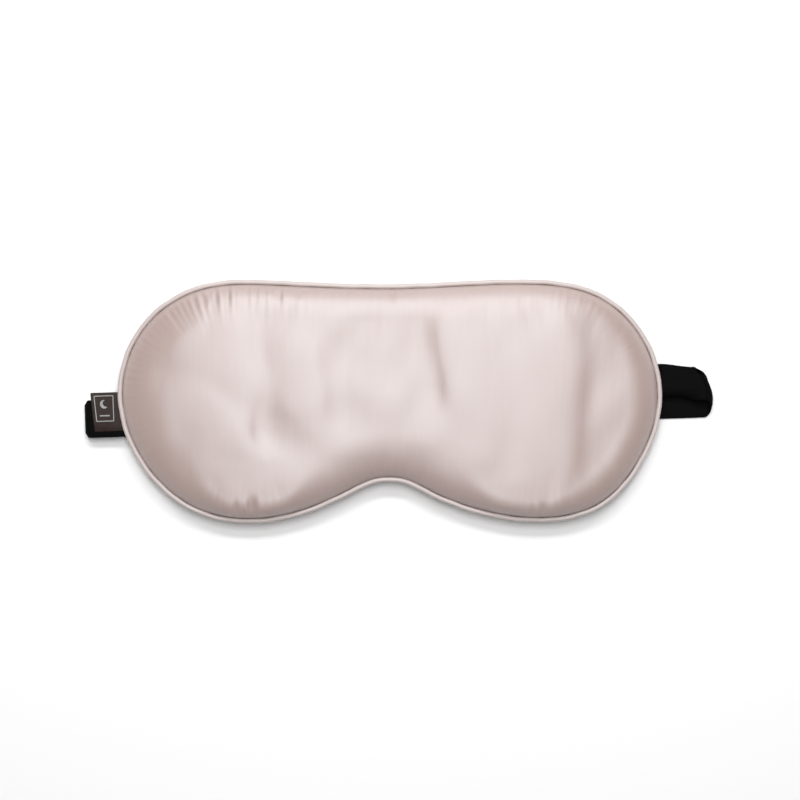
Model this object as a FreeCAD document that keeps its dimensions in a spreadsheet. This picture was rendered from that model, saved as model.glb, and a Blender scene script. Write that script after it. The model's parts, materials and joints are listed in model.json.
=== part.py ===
import FreeCAD, Part

import math
import os

import Sketcher
from FreeCAD import Placement, Rotation, Vector

# A sleep eye mask that lies flat on its back: the satin front faces +Z, the brow edge is at +Y, and the
# elastic strap is folded behind the pad. Everything is in millimetres. The pad is drawn about its own
# middle, and every piece is then moved so that the origin is under the middle of the whole object.

DIMENSIONS = {
    "mask_middle": -3.14,           # X of the pad's middle
    "seam_level": 7.6,              # height of the plane of the edge seam
    "crown_level": 13.8,            # highest point of the puffed front
    "pad_edge_run": 22.0,           # distance over which the pad swells from its edge to full thickness
    "swell_step": 15.0,             # degrees of the swell's quarter ellipse between two of its sections
    "satin_thickness": 0.6,         # satin with its bonded interlining
    "piping_radius": 0.95,
    "piping_core_radius": 0.6,
    "flange_thickness": 0.3,        # piping flange, seam thread and liner lie in the seam plane
    "flange_gap": 0.06,             # between the two plies of the flange
    "flange_width": 3.0,
    "thread_width": 0.4,
    "channel_width": 32.0,          # soft channel in the back, pressed in by the folded strap
    "channel_level": 6.2,
    "channel_length": 230.0,
    "channel_mouth": 1.0,           # how far the channel's cutter starts below the surface
    "strap_width": 15.0,
    "strap_thickness": 0.9,
    "strap_line": -3.07,            # Y of the strap under the pad's middle
    "strap_skew": 1.89,             # degrees, the strap runs slightly uphill to the right
    "lead_level": 5.1,              # centre height of the straps where they leave the seam
    "run_level": 0.45,              # centre height of the straps that lie on the surface
    "left_seam": -101.8,
    "left_fold": -119.125,
    "right_seam": 104.0,
    "right_fold": 125.525,
    "right_lead_offset": 7.0,       # the right lead leaves the seam this far above the strap line
    "root_length": 6.0,
    "hinge_gap": 0.5,               # between a sewn-in root and the strap that swings from it
    "tack_height": 0.25,
    "tack_length": 2.0,
    "tack_width": 11.0,
    "tack_setback": 2.5,            # from the seam end of a root to its stitching
    "loop_length": 20.0,            # the left strap's loop, back from the ring's left bar
    "loop_shoulder": 3.0,           # where the loop starts to come down behind the bar
    "loop_foot": 8.0,               # where its stub lies on the run
    "loop_stub": 17.0,              # where the stub ends
    "loop_bend": 2.0,
    "loop_tack_setback": 13.0,
    "stub_gap": 0.06,               # between plies that lie on each other
    "ring_middle": 3.2,
    "ring_level": 2.45,
    "ring_length": 11.6,
    "ring_width": 19.6,
    "ring_bar": 1.6,
    "bar_rounding": 0.5,
    "slider_middle": 38.0,
    "slider_length": 12.2,
    "slider_width": 20.0,
    "slider_bar": 1.8,
    "slider_outer_low": 1.9,
    "slider_outer_high": 3.5,
    "slider_inner_level": 1.8,
    "slider_inner_radius": 0.8,
    "lug_wall": 0.35,               # wall of the slider's lugs round its middle bar
    "lug_inset": 0.1,               # each side of a lug from the side of its rail
    "feed_length": 45.0,            # strap that runs through the slider as it moves
    "weave_right": 8.0,             # the strap over the slider, from the slider's middle
    "weave_right_foot": 4.0,
    "weave_shoulder": 2.3,
    "weave_left_foot": 3.9,
    "weave_left": 6.5,
    "weave_top": 4.15,
    "weave_bend": 0.9,
    "turn_inner_radius": 2.0,       # the right strap's turn round the ring's right bar
    "turn_setback": 0.5,
    "turn_end": 14.0,
    "turn_slope": 3.0,              # flat part of the outer ply beside the turn
    "ply_slope": 4.0,               # and beside the slider
    "ply_bend": 6.0,
    "end_reach": 1.7,               # the strap's end past the slider's middle bar
    "end_tack_setback": 1.6,
    "end_tack_length": 0.8,
    "label_width": 15.5,
    "label_offset": 2.65,
    "label_hinge": -108.6,
    "label_end": -118.9,
    "label_low": 5.6,
    "label_high": 6.15,
    "label_ply": 0.23,
    "label_gap": 0.3,               # between the label's sewn-in root and its loose loop
    "label_root_length": 4.6,
    "mark_height": 0.1,
    "frame_length": 8.0,
    "frame_width": 10.4,
    "frame_stroke": 0.35,
    "frame_setback": 1.1,           # from the label's folded end
    "frame_bottom": -1.2,           # Y of the frame's lower edge from the strap line
    "crescent_radius": 1.7,
    "crescent_rise": 6.9,           # its middle above the frame's lower edge
    "bite_radius": 1.33,            # the circle that bites the moon into a crescent
    "bite_right": 0.77,
    "bite_rise": 0.34,
    "dash_rise": 2.1,
    "dash_length": 4.4,
    "dash_width": 0.5,
}

# Points on the pad's seam line, anticlockwise from the nose notch: X and Y from the pad's middle.
# Tangent arcs join them.
SEAM_POINTS = [
    (4.5, -31.4), (16.5, -36.7), (36.0, -43.9), (61.0, -47.0), (83.4, -41.3),
    (99.8, -23.2), (107.0, -1.0), (101.3, 24.5), (83.0, 42.2), (53.0, 47.5),
    (4.0, 45.7), (-46.0, 47.1), (-75.0, 45.3), (-96.3, 32.0), (-107.1, 5.5),
    (-99.1, -23.2), (-75.4, -43.9), (-53.6, -47.4), (-35.7, -44.3), (-16.5, -36.2),
    (-5.5, -31.5),
]

doc = FreeCAD.newDocument("SleepMask")
sheet = doc.addObject("Spreadsheet::Sheet", "dims")
for row, (alias, value) in enumerate(DIMENSIONS.items(), start=1):
    sheet.set(f"A{row}", alias)
    sheet.set(f"B{row}", str(value))
    sheet.setAlias(f"B{row}", alias)
doc.recompute()

NODES = []


def dim(alias):
    return float(getattr(sheet, alias))


def node(feature, label):
    """Registers a finished piece under the name of its file."""
    feature.Label = label
    NODES.append(feature)
    return feature


def shape_feature(name, shape):
    feature = doc.addObject("Part::Feature", name)
    feature.Shape = shape
    return feature


def place_on_pad(feature):
    feature.setExpression("Placement.Base.x", "dims.mask_middle")
    return feature


def place_on_strap(feature):
    """Strap pieces are drawn along X and laid on the slightly skewed strap line."""
    feature.Placement = Placement(Vector(0, 0, 0), Rotation(Vector(0, 0, 1), 1.0))
    feature.setExpression("Placement.Base.x", "dims.mask_middle")
    feature.setExpression("Placement.Base.y", "dims.strap_line")
    feature.setExpression("Placement.Rotation.Angle", "dims.strap_skew * 1deg")
    return feature


def lay_box(box, origin, corner):
    """Lays a box along the strap line: the line's origin and the box's low corner, as expressions."""
    x, y, z = corner
    turn = "dims.strap_skew * 1deg"
    box.Placement = Placement(Vector(0, 0, 0), Rotation(Vector(0, 0, 1), 1.0))
    box.setExpression("Placement.Base.x", f"{origin} + ({x}) * cos({turn}) - ({y}) * sin({turn})")
    box.setExpression("Placement.Base.y", f"dims.strap_line + ({x}) * sin({turn}) + ({y}) * cos({turn})")
    box.setExpression("Placement.Base.z", z)
    box.setExpression("Placement.Rotation.Angle", turn)


def size_box(box, length, width, height):
    box.setExpression("Length", length)
    box.setExpression("Width", width)
    box.setExpression("Height", height)


def cut(name, base, tool):
    feature = doc.addObject("Part::Cut", name)
    feature.Base = base
    feature.Tool = tool
    return feature


# ---------------------------------------------------------------- pad outline and swelling

def left_normal(direction):
    return Vector(-direction.y, direction.x, 0)


def seam_tangents(points):
    """The tangents that a smooth closed spline through the points has at each of them."""
    spline = Part.BSplineCurve()
    spline.interpolate(points, PeriodicFlag=True)
    return [spline.tangent(spline.parameter(point))[0] for point in points]


def tangent_at_far_end(start, end, tangent):
    """The direction in which an arc that leaves start along a tangent reaches end."""
    chord = (end - start).normalize()
    return (chord * (2 * chord.dot(tangent)) - tangent).normalize()


def seam_arcs():
    """The seam line as arcs: each span between two points is a pair that meets smoothly."""
    points = [Vector(x, y, 0) for x, y in SEAM_POINTS]
    tangents = seam_tangents(points)
    arcs = []
    for number, start in enumerate(points):
        end = points[(number + 1) % len(points)]
        leave = tangents[number]
        arrive = tangents[(number + 1) % len(points)]
        span = end - start
        lean = span.dot(leave + arrive)
        bend = 2 * (1 - leave.dot(arrive))
        reach = (math.sqrt(lean ** 2 + bend * span.dot(span)) - lean) / bend
        joint = (start + end + (leave - arrive) * reach) * 0.5
        passing = tangent_at_far_end(start, joint, leave)
        arcs.append((start, joint, leave, passing))
        arcs.append((joint, end, passing, arrive))
    return arcs


def inset_wire(inset, level):
    """The seam line moved inward by an inset and up to a level."""
    edges = []
    for start, end, leave, arrive in seam_arcs():
        lift = Vector(0, 0, level)
        middle_way = (leave + arrive).normalize()
        chord = end - start
        half_turn = math.atan2(leave.cross(arrive).z, leave.dot(arrive)) / 2
        sagitta = chord.Length / 2 * math.tan(half_turn / 2)
        middle = (start + end) * 0.5 - left_normal(middle_way) * sagitta
        moved = [start + left_normal(leave) * inset + lift,
                 middle + left_normal(middle_way) * inset + lift,
                 end + left_normal(arrive) * inset + lift]
        edges.append(Part.Arc(*moved).toShape())
    return Part.Wire(edges)


def flat_plate(outer_inset, level, thickness):
    return Part.Face(inset_wire(outer_inset, level)).extrude(Vector(0, 0, thickness))


def swelling(base_level, top_level, edge_inset):
    """A puffed half of the pad: an elliptical swell from the edge to a flat middle."""
    run = dim("pad_edge_run")
    rise = top_level - base_level
    sections = []
    quarter = 90
    steps = round(quarter / dim("swell_step"))
    for step in range(steps + 1):
        angle = math.radians(quarter * step / steps)
        inset = edge_inset + run * (1 - math.cos(angle))
        sections.append(inset_wire(inset, base_level + rise * math.sin(angle)))
    return Part.makeLoft(sections, True, True)


half_flange = dim("flange_thickness") / 2
front_base = dim("seam_level") + half_flange
back_base = dim("seam_level") - half_flange
panel_inset = dim("piping_radius")
satin = dim("satin_thickness")

front_outer = shape_feature("FrontOuter", swelling(front_base, dim("crown_level"), panel_inset))
front_inner_shape = swelling(front_base, dim("crown_level") - satin, panel_inset + satin)
front_inner = shape_feature("FrontInner", front_inner_shape)
node(place_on_pad(cut("FrontPanel", front_outer, front_inner)), "front_panel")
node(place_on_pad(shape_feature("FrontWadding", front_inner_shape.copy())), "front_wadding")


def channel_box(name, wall):
    """The strap's channel, as a box that a wall of the given thickness surrounds."""
    box = doc.addObject("Part::Box", name)
    size_box(box, "dims.channel_length", f"dims.channel_width + 2 * {wall}",
             f"dims.channel_level + dims.channel_mouth + {wall}")
    lay_box(box, "0", ("-dims.channel_length / 2", f"-dims.channel_width / 2 - {wall}",
                       "-dims.channel_mouth"))
    return box


back_outer = shape_feature("BackOuter", swelling(back_base, 0.0, panel_inset))
back_inner = shape_feature("BackInner", swelling(back_base, satin, panel_inset + satin))
back_body = cut("BackBody", back_outer, channel_box("ChannelOuter", "0"))
back_core = cut("BackCore", back_inner, channel_box("ChannelInner", "dims.satin_thickness"))
node(place_on_pad(cut("BackPanel", back_body, back_core)), "back_panel")
doc.recompute()
node(place_on_pad(shape_feature("BackWadding", back_core.Shape.copy())), "back_wadding")

thread_inset = dim("flange_width")
liner_inset = thread_inset + dim("thread_width")
liner = flat_plate(liner_inset, back_base, dim("flange_thickness"))
node(place_on_pad(shape_feature("BlackoutLiner", liner)), "blackout_liner")


# ---------------------------------------------------------------- piping and closing seam

def line(start, end):
    return Part.LineSegment(start, end).toShape()


def along_seam(profile):
    """Sweeps a closed profile along the seam line."""
    return inset_wire(0, dim("seam_level")).makePipe(Part.Face(Part.Wire(profile)))


def seam_section_point(inward, up):
    """A point of the cross-section at the start of the seam line."""
    start, _, along, _ = seam_arcs()[0]
    return start + left_normal(along) * inward + Vector(0, 0, dim("seam_level") + up)


def tape_profile():
    """A bias strip wrapped round the cord, whose two edges meet in a flange."""
    at = seam_section_point
    outer = dim("piping_radius")
    inner = dim("piping_core_radius")
    top = dim("flange_thickness") / 2
    gap = dim("flange_gap") / 2
    reach = dim("flange_width")
    outer_root = math.sqrt(outer ** 2 - top ** 2)
    inner_root = math.sqrt(inner ** 2 - gap ** 2)
    return [
        line(at(reach, top), at(outer_root, top)),
        Part.Arc(at(outer_root, top), at(-outer, 0), at(outer_root, -top)).toShape(),
        line(at(outer_root, -top), at(reach, -top)),
        line(at(reach, -top), at(reach, -gap)),
        line(at(reach, -gap), at(inner_root, -gap)),
        Part.Arc(at(inner_root, -gap), at(-inner, 0), at(inner_root, gap)).toShape(),
        line(at(inner_root, gap), at(reach, gap)),
        line(at(reach, gap), at(reach, top)),
    ]


cord_circle = Part.Circle(seam_section_point(0, 0), seam_arcs()[0][2], dim("piping_core_radius"))
node(place_on_pad(shape_feature("PipingCord", along_seam([cord_circle.toShape()]))), "piping_cord")
node(place_on_pad(shape_feature("PipingTape", along_seam(tape_profile()))), "piping_tape")
thread_face = Part.Face(inset_wire(thread_inset, back_base)).cut(
    Part.Face(inset_wire(liner_inset, back_base)))
seam_thread = thread_face.extrude(Vector(0, 0, dim("flange_thickness")))
node(place_on_pad(shape_feature("SeamThread", seam_thread)), "seam_thread")


# ---------------------------------------------------------------- strap pieces

def rounded_path(points, radii, shift):
    """Straight runs joined by tangent arcs, seen from the side. One radius for each inner point."""
    corners = [Vector(x, shift, z) for x, z in points]
    edges = []
    here = corners[0]
    for before, corner, after, radius in zip(corners, corners[1:], corners[2:], radii):
        into = (before - corner).normalize()
        away = (after - corner).normalize()
        half_turn = (math.pi - into.getAngle(away)) / 2
        trim = radius * math.tan(half_turn)
        arc_start = corner + into * trim
        arc_end = corner + away * trim
        middle_way = (into + away).normalize()
        arc_middle = corner + middle_way * (radius / math.cos(half_turn) - radius)
        if (arc_start - here).Length > 1e-6:
            edges.append(Part.LineSegment(here, arc_start).toShape())
        edges.append(Part.Arc(arc_start, arc_middle, arc_end).toShape())
        here = arc_end
    if (corners[-1] - here).Length > 1e-6:
        edges.append(Part.LineSegment(here, corners[-1]).toShape())
    return Part.Wire(edges)


def strip_section(middle, direction):
    """The strap's cross-section at a point of its path, square to a direction."""
    across = Vector(0, dim("strap_width") / 2, 0)
    through = direction.cross(Vector(0, 1, 0)).normalize() * (dim("strap_thickness") / 2)
    corners = [middle + across + through, middle - across + through,
               middle - across - through, middle + across - through]
    return Part.makePolygon(corners + corners[:1])


def strip(points, radii, shift):
    """A length of strap that follows a path seen from the side."""
    path = rounded_path(points, radii, shift)
    start = Vector(points[0][0], shift, points[0][1])
    direction = (Vector(points[1][0], shift, points[1][1]) - start).normalize()
    sweep = Part.BRepOffsetAPI.MakePipeShell(path)
    sweep.setBiNormalMode(Vector(0, 1, 0))
    sweep.add(strip_section(start, direction), False, False)
    sweep.build()
    sweep.makeSolid()
    return sweep.shape()


def strap_piece(label, points, radii=(), shift=0.0):
    shape = strip(points, radii, shift)
    return node(place_on_strap(shape_feature(label.title().replace("_", ""), shape)), label)


def strap_box(label, low, size):
    """A flat piece: its low X, the Y of its middle and its low Z, and its size, all as expressions."""
    box = doc.addObject("Part::Box", label.title().replace("_", ""))
    size_box(box, *size)
    x, middle, z = low
    lay_box(box, "dims.mask_middle", (x, f"{middle} - ({size[1]}) / 2", z))
    return node(box, label)


lead = dim("lead_level")
run = dim("run_level")
ply = dim("strap_thickness")
fold_radius = (lead - run) / 2
left_seam = dim("left_seam")
left_fold = dim("left_fold")
right_seam = dim("right_seam")
right_fold = dim("right_fold")
right_shift = dim("right_lead_offset")
stub_level = run + ply + dim("stub_gap")
lead_low = "dims.lead_level - dims.strap_thickness / 2"
root_size = ("dims.root_length", "dims.strap_width", "dims.strap_thickness")
tack_size = ("dims.tack_length", "dims.tack_width", "dims.tack_height")

strap_box("left_strap_root", ("dims.left_seam + dims.hinge_gap", "0", lead_low), root_size)
strap_box("left_seam_tack",
          ("dims.left_seam + dims.tack_setback", "0", f"{lead_low} - dims.tack_height"), tack_size)
strap_piece("left_strap_lead", [(left_seam, lead), (left_fold, lead)])
strap_piece("left_strap_fold",
            [(left_fold, lead), (left_fold - fold_radius, lead), (left_fold - fold_radius, run),
             (left_fold, run)], [fold_radius, fold_radius])

ring_half_length = (dim("ring_length") - dim("ring_bar")) / 2
ring_left = dim("ring_middle") - ring_half_length
ring_right = dim("ring_middle") + ring_half_length
loop_radius = dim("ring_level") - run
loop_top = run + 2 * loop_radius
loop_start = ring_left - dim("loop_length")
strap_piece("left_strap_run", [(left_fold, run), (loop_start, run)])
strap_piece("left_strap_loop",
            [(loop_start, run), (ring_left + loop_radius, run), (ring_left + loop_radius, loop_top),
             (ring_left - dim("loop_shoulder"), loop_top), (ring_left - dim("loop_foot"), stub_level),
             (ring_left - dim("loop_stub"), stub_level)],
            [loop_radius, loop_radius, dim("loop_bend"), dim("loop_bend")])
strap_box("left_loop_tack",
          ("dims.ring_middle - (dims.ring_length - dims.ring_bar) / 2 - dims.loop_tack_setback", "0",
           "dims.run_level + dims.strap_thickness + dims.stub_gap + dims.strap_thickness / 2"), tack_size)

slider = dim("slider_middle")
feed_end = slider + dim("feed_length")
weave_right = slider + dim("weave_right")
weave_left = slider - dim("weave_left")
weave_top = dim("weave_top")
turn_radius = dim("turn_inner_radius") + ply / 2
turn_left = ring_right - dim("turn_setback") - turn_radius
turn_top = run + 2 * turn_radius
turn_end = dim("turn_end")

strap_box("right_strap_root",
          ("dims.right_seam - dims.hinge_gap - dims.root_length", "dims.right_lead_offset", lead_low),
          root_size)
strap_box("right_seam_tack",
          ("dims.right_seam - dims.tack_setback - dims.tack_length", "dims.right_lead_offset",
           f"{lead_low} - dims.tack_height"), tack_size)
strap_piece("right_strap_lead", [(right_seam, lead), (right_fold, lead)], shift=right_shift)

# The right strap folds askew: its sections slide sideways as they go round.
FOLD_STEPS = 8
fold_sections = []
for step in range(FOLD_STEPS + 1):
    angle = math.pi * step / FOLD_STEPS
    point = Vector(right_fold + fold_radius * math.sin(angle), right_shift * (1 - step / FOLD_STEPS),
                   (lead + run) / 2 + fold_radius * math.cos(angle))
    heading = Vector(math.cos(angle), 0, -math.sin(angle))
    fold_sections.append(strip_section(point, heading))
right_fold_shape = Part.makeLoft(fold_sections, True, False)
node(place_on_strap(shape_feature("RightStrapFold", right_fold_shape)), "right_strap_fold")

strap_piece("right_strap_run", [(right_fold, run), (feed_end, run)])
strap_piece("right_strap_feed", [(feed_end, run), (weave_right, run)])
strap_piece("right_strap_weave",
            [(weave_right, run), (slider + dim("weave_right_foot"), run),
             (slider + dim("weave_shoulder"), weave_top), (slider - dim("weave_shoulder"), weave_top),
             (slider - dim("weave_left_foot"), stub_level), (weave_left, stub_level)],
            [dim("weave_bend")] * 4)
strap_piece("right_strap_outer_ply",
            [(weave_left, stub_level), (weave_left - dim("ply_slope"), stub_level),
             (turn_end + dim("turn_slope"), turn_top), (turn_end, turn_top)], [dim("ply_bend")] * 2)
strap_piece("right_strap_turn",
            [(turn_end, turn_top), (turn_left, turn_top), (turn_left, run), (turn_end, run)],
            [turn_radius, turn_radius])
strap_piece("right_strap_inner_ply", [(turn_end, run), (weave_left, run)])
bar_level = dim("slider_inner_level")
bar_wrap = bar_level - run
end_top = run + 2 * bar_wrap
strap_piece("right_strap_end",
            [(weave_left, run), (slider + bar_wrap, run), (slider + bar_wrap, end_top),
             (slider - dim("end_reach"), end_top)], [bar_wrap, bar_wrap])
strap_box("strap_end_tack",
          ("dims.slider_middle - dims.end_tack_setback", "0", "dims.run_level + dims.strap_thickness / 2"),
          ("dims.end_tack_length", "dims.tack_width",
           "2 * (dims.slider_inner_level - dims.run_level) - dims.strap_thickness"))


# ---------------------------------------------------------------- ring and slider

def plane(body, role):
    return next(item for item in body.Origin.OriginFeatures if item.Role == role)


def sketch_on(body, name, role):
    sketch = body.newObject("Sketcher::SketchObject", name)
    sketch.AttachmentSupport = [(plane(body, role), "")]
    sketch.MapMode = "FlatFace"
    return sketch


def add_rectangle(sketch, middle, length, across):
    """A rectangle centred on the sketch's X axis, whose sizes and middle are bound to expressions."""
    first = sketch.GeometryCount
    corners = [Vector(-1, -1, 0), Vector(1, -1, 0), Vector(1, 1, 0), Vector(-1, 1, 0)]
    for number in range(4):
        sketch.addGeometry(Part.LineSegment(corners[number], corners[(number + 1) % 4]), False)
    for number in range(4):
        sketch.addConstraint(Sketcher.Constraint("Coincident", first + number, 2,
                                                 first + (number + 1) % 4, 1))
    for number in (0, 2):
        sketch.addConstraint(Sketcher.Constraint("Horizontal", first + number))
    sketch.addConstraint(Sketcher.Constraint("Vertical", first + 3))
    sketch.addConstraint(Sketcher.Constraint("Symmetric", first + 1, 1, first + 1, 2, -1))
    for kind, edge, expression in (("DistanceX", first, length), ("DistanceY", first + 1, across)):
        number = sketch.addConstraint(Sketcher.Constraint(kind, edge, 1, edge, 2, 2.0))
        sketch.setExpression(f"Constraints[{number}]", expression)
    number = sketch.addConstraint(Sketcher.Constraint("DistanceX", -1, 1, first, 1, -1.0))
    sketch.setExpression(f"Constraints[{number}]", f"{middle} - ({length}) / 2")


def frame_body(label, outer, windows, low, high):
    """A flat frame: a rectangular pad with rectangular windows through it."""
    body = doc.addObject("PartDesign::Body", label.title())
    sketch = sketch_on(body, f"{label.title()}Outline", "XY_Plane")
    add_rectangle(sketch, *outer)
    for window in windows:
        add_rectangle(sketch, *window)
    sketch.setExpression("AttachmentOffset.Base.z", low)
    pad = body.newObject("PartDesign::Pad", f"{label.title()}Pad")
    pad.Profile = sketch
    pad.setExpression("Length", f"{high} - ({low})")
    return body, pad


ring, ring_pad = frame_body(
    "ring",
    ("dims.ring_middle", "dims.ring_length", "dims.ring_width"),
    [("dims.ring_middle", "dims.ring_length - 2 * dims.ring_bar",
      "dims.ring_width - 2 * dims.ring_bar")],
    "dims.ring_level - dims.ring_bar / 2", "dims.ring_level + dims.ring_bar / 2")
doc.recompute()


def fillet_level_edges(body, pad, name):
    """Rounds every edge of a frame that lies in one of its two flat faces."""
    fillet = body.newObject("PartDesign::Fillet", name)
    levels = (pad.Shape.BoundBox.ZMin, pad.Shape.BoundBox.ZMax)
    edges = []
    for number, edge in enumerate(pad.Shape.Edges, start=1):
        heights = [vertex.Z for vertex in edge.Vertexes]
        if any(max(abs(height - level) for height in heights) < 1e-6 for level in levels):
            edges.append(f"Edge{number}")
    fillet.Base = (pad, edges)
    fillet.setExpression("Radius", "dims.bar_rounding")
    body.Tip = fillet
    return fillet


fillet_level_edges(ring, ring_pad, "RingFillet")
node(place_on_strap(ring), "ring")

window_length = "(dims.slider_length - 2 * dims.slider_bar)"
window_width = "dims.slider_width - 2 * dims.slider_bar"
slider_body, slider_pad = frame_body(
    "slider",
    ("dims.slider_middle", "dims.slider_length", "dims.slider_width"),
    [("dims.slider_middle", window_length, window_width)],
    "dims.slider_outer_low", "dims.slider_outer_high")
doc.recompute()
fillet_level_edges(slider_body, slider_pad, "SliderFillet")
doc.recompute()


def round_bar(name, offset, radius, length):
    """A round bar across the slider at its middle bar's level, bound to expressions."""
    sketch = sketch_on(slider_body, f"{name}Outline", "XZ_Plane")
    sketch.setExpression("AttachmentOffset.Base.z", offset)
    circle = sketch.addGeometry(Part.Circle(Vector(0, 0, 0), Vector(0, 0, 1), 1.0), False)
    for kind, expression in (("DistanceX", "dims.slider_middle"), ("DistanceY", "dims.slider_inner_level")):
        number = sketch.addConstraint(Sketcher.Constraint(kind, -1, 1, circle, 3, 1.0))
        sketch.setExpression(f"Constraints[{number}]", expression)
    number = sketch.addConstraint(Sketcher.Constraint("Radius", circle, 1.0))
    sketch.setExpression(f"Constraints[{number}]", radius)
    pad = slider_body.newObject("PartDesign::Pad", name)
    pad.Profile = sketch
    pad.Midplane = True
    pad.setExpression("Length", length)
    return pad


# Each side rail reaches down with a lug to carry the lower middle bar.
rail_middle = "(dims.slider_width - dims.slider_bar) / 2"
for name, offset in (("FarLug", f"-{rail_middle}"), ("NearLug", rail_middle)):
    round_bar(name, offset, "dims.slider_inner_radius + dims.lug_wall",
              "dims.slider_bar - 2 * dims.lug_inset")
bar = round_bar("MiddleBar", "0", "dims.slider_inner_radius", "dims.slider_width - dims.slider_bar")
slider_body.Tip = bar
node(place_on_strap(slider_body), "slider")


# ---------------------------------------------------------------- label

label_middle = dim("label_offset")
label_low = dim("label_low")
label_high = dim("label_high")
label_end = dim("label_end")
label_hinge = dim("label_hinge")
label_width = dim("label_width")
label_ply = dim("label_ply")
strap_box("label_root", ("dims.label_hinge + dims.label_gap", "dims.label_offset", "dims.label_low"),
          ("dims.label_root_length", "dims.label_width", "dims.label_high - dims.label_low"))


def folded_label():
    """One ribbon folded at its free end: two plies joined by a half-round fold."""
    outer_radius = (label_high - label_low) / 2
    inner_radius = outer_radius - label_ply
    level = label_low + outer_radius
    fold = label_end + outer_radius
    side = label_middle - label_width / 2

    def half_round(radius):
        top = Vector(fold, side, level + radius)
        low = Vector(fold, side, level - radius)
        root_low = Vector(label_hinge, side, level - radius)
        root_top = Vector(label_hinge, side, level + radius)
        arc = Part.Arc(top, Vector(fold - radius, side, level), low).toShape()
        face = Part.Face(Part.Wire([arc, line(low, root_low), line(root_low, root_top),
                                    line(root_top, top)]))
        return face.extrude(Vector(0, label_width, 0))

    return half_round(outer_radius).cut(half_round(inner_radius))


node(place_on_strap(shape_feature("LabelLoop", folded_label())), "label_loop")


def raised_mark(face):
    """Thread that stands a little proud of the label."""
    return face.extrude(Vector(0, 0, dim("mark_height")))


def rectangle_face(x_low, y_low, length, across):
    corners = [Vector(x_low, y_low, label_high), Vector(x_low + length, y_low, label_high),
               Vector(x_low + length, y_low + across, label_high),
               Vector(x_low, y_low + across, label_high)]
    return Part.Face(Part.makePolygon(corners + corners[:1]))


stroke = dim("frame_stroke")
frame_low = label_end + dim("frame_setback")
frame_across = dim("frame_width")
frame_length = dim("frame_length")
frame_bottom = dim("frame_bottom")
outer_frame = rectangle_face(frame_low, frame_bottom, frame_length, frame_across)
inner_frame = rectangle_face(frame_low + stroke, frame_bottom + stroke, frame_length - 2 * stroke,
                             frame_across - 2 * stroke)
frame_mark = raised_mark(outer_frame.cut(inner_frame))
node(place_on_strap(shape_feature("LabelFrame", frame_mark)), "label_frame")


def round_face(middle, radius):
    return Part.Face(Part.Wire([Part.Circle(middle, Vector(0, 0, 1), radius).toShape()]))


moon_middle = Vector(frame_low + frame_length / 2, frame_bottom + dim("crescent_rise"), label_high)
bite_middle = moon_middle + Vector(dim("bite_right"), dim("bite_rise"), 0)
moon = round_face(moon_middle, dim("crescent_radius")).cut(round_face(bite_middle, dim("bite_radius")))
node(place_on_strap(shape_feature("LabelMoon", raised_mark(moon))), "label_moon")

dash_left = frame_low + (frame_length - dim("dash_length")) / 2
dash = rectangle_face(dash_left, frame_bottom + dim("dash_rise"), dim("dash_length"), dim("dash_width"))
node(place_on_strap(shape_feature("LabelDash", raised_mark(dash))), "label_dash")


# ---------------------------------------------------------------- checks and files

doc.recompute()
for item in doc.Objects:
    if "Invalid" in item.State or "Error" in item.State:
        raise RuntimeError(f"{item.Name} failed: {item.State}")
os.makedirs("parts", exist_ok=True)
for piece in NODES:
    shape = piece.Shape
    if shape.isNull() or not shape.isValid() or len(shape.Solids) != 1:
        raise RuntimeError(f"{piece.Label} is not one valid solid")
    shape.exportStep(f"parts/{piece.Label}.step")
    box = shape.BoundBox
    print(f"{piece.Label:24s} {shape.Volume:10.1f} mm3  x {box.XMin:8.2f} {box.XMax:8.2f}"
          f"  y {box.YMin:7.2f} {box.YMax:7.2f}  z {box.ZMin:6.2f} {box.ZMax:6.2f}")
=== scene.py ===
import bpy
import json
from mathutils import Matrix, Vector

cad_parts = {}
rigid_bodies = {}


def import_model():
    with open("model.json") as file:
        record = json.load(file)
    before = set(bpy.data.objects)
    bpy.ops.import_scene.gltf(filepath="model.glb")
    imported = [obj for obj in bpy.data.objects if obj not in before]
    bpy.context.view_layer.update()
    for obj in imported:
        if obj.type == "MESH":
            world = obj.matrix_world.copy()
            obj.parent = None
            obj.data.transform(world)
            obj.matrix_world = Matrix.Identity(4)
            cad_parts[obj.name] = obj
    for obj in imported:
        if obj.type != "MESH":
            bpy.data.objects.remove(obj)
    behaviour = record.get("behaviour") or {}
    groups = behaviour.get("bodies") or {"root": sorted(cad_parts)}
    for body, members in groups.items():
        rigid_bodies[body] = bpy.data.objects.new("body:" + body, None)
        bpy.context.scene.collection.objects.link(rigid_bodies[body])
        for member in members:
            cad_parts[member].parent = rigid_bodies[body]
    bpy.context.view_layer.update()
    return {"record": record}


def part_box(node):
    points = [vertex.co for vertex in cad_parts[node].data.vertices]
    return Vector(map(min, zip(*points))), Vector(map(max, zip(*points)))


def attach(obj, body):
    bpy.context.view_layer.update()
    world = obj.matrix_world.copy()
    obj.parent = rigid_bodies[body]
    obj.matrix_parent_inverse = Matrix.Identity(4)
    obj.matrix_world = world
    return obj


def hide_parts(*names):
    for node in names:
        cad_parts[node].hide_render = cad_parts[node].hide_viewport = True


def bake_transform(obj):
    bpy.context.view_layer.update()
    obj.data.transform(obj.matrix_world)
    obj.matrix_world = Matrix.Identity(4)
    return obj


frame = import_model()

import json
import math

import bpy
import numpy as np
from mathutils import Vector
from mathutils.geometry import delaunay_2d_cdt
from numpy.linalg import norm

# A satin sleep mask lying on its back, front up, its elastic strap folded behind it. Lengths are in metres.

# ---- sizes

MM = 0.001
JOINTS = {joint["name"]: joint for joint in frame["record"]["behaviour"]["joints"]}


def joint_place(name):
    return np.array(JOINTS[name]["pos_m"])


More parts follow.
